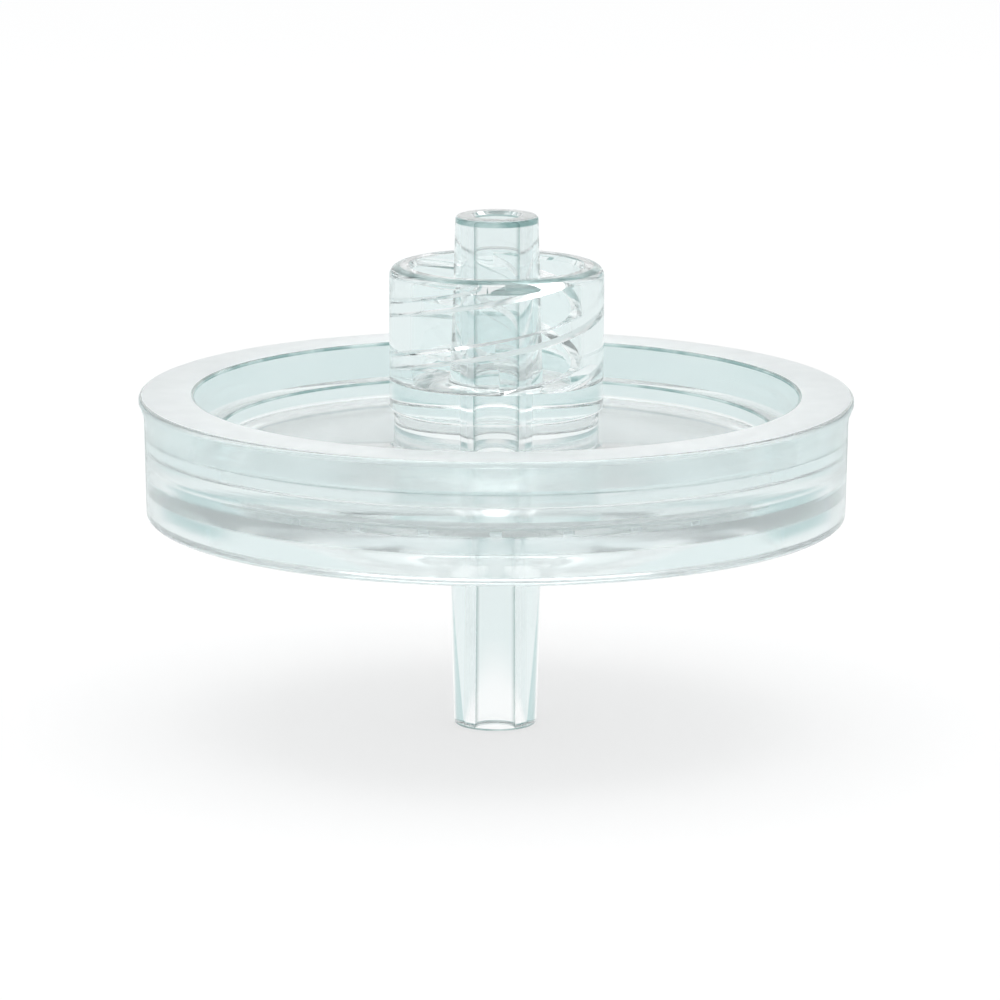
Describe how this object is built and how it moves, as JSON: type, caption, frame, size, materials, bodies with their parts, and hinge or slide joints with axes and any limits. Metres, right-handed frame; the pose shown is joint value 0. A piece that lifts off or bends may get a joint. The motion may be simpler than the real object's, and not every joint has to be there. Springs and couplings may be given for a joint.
{
  "type": "syringe filter",
  "caption": "Clear disc filter for small liquid volumes, with a membrane sealed between moulded housings, a luer lock cone above and a luer slip nozzle below.",
  "frame": {"origin": "centre of the slip nozzle's tip face, where the nozzle leaves a socket or tube", "axes": "+Z runs along the flow axis from the slip nozzle's tip to the lock collar; the disc lies across Z"},
  "size_m": [0.0342, 0.0342, 0.0248],
  "materials": {
    "housing_clear": "clear moulded plastic with a faint teal cast",
    "ring_clear": "clear moulded plastic, slightly hazy, with a faint teal cast",
    "membrane_white": "thin white porous film"
  },
  "bodies": {
    "root": {"upper_housing": "housing_clear", "lower_housing": "housing_clear", "rim_ring": "ring_clear", "membrane": "membrane_white"}
  },
  "joints": []
}
